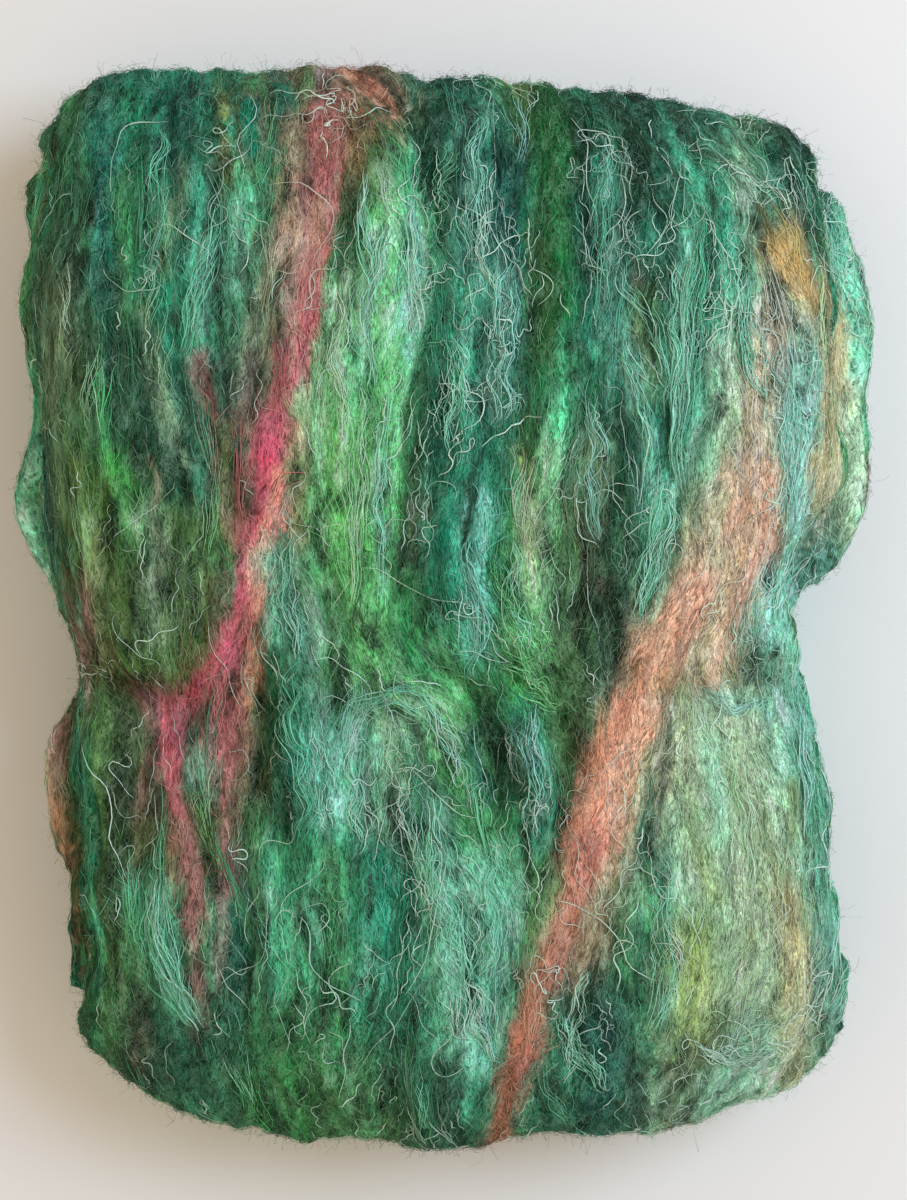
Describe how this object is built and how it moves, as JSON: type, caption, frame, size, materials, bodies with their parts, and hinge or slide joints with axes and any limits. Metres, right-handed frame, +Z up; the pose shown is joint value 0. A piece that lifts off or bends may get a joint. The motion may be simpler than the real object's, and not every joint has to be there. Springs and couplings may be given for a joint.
{
  "type": "rolled fibre batt",
  "caption": "Carded wool and silk batt, rolled up, laid on its side, pressed flat and pinched across the middle.",
  "frame": {"origin": "middle of the flat foot, on the surface that the batt rests on", "axes": "+X along the roll's axis, +Y the way the fibres run on the upper face, towards the back curl, +Z up"},
  "size_m": [0.228, 0.2844, 0.0725],
  "materials": {
    "carded_wool": "matt",
    "silk_thread": "satin"
  },
  "bodies": {
    "root": {"batt_roll": "carded_wool"}
  },
  "joints": []
}
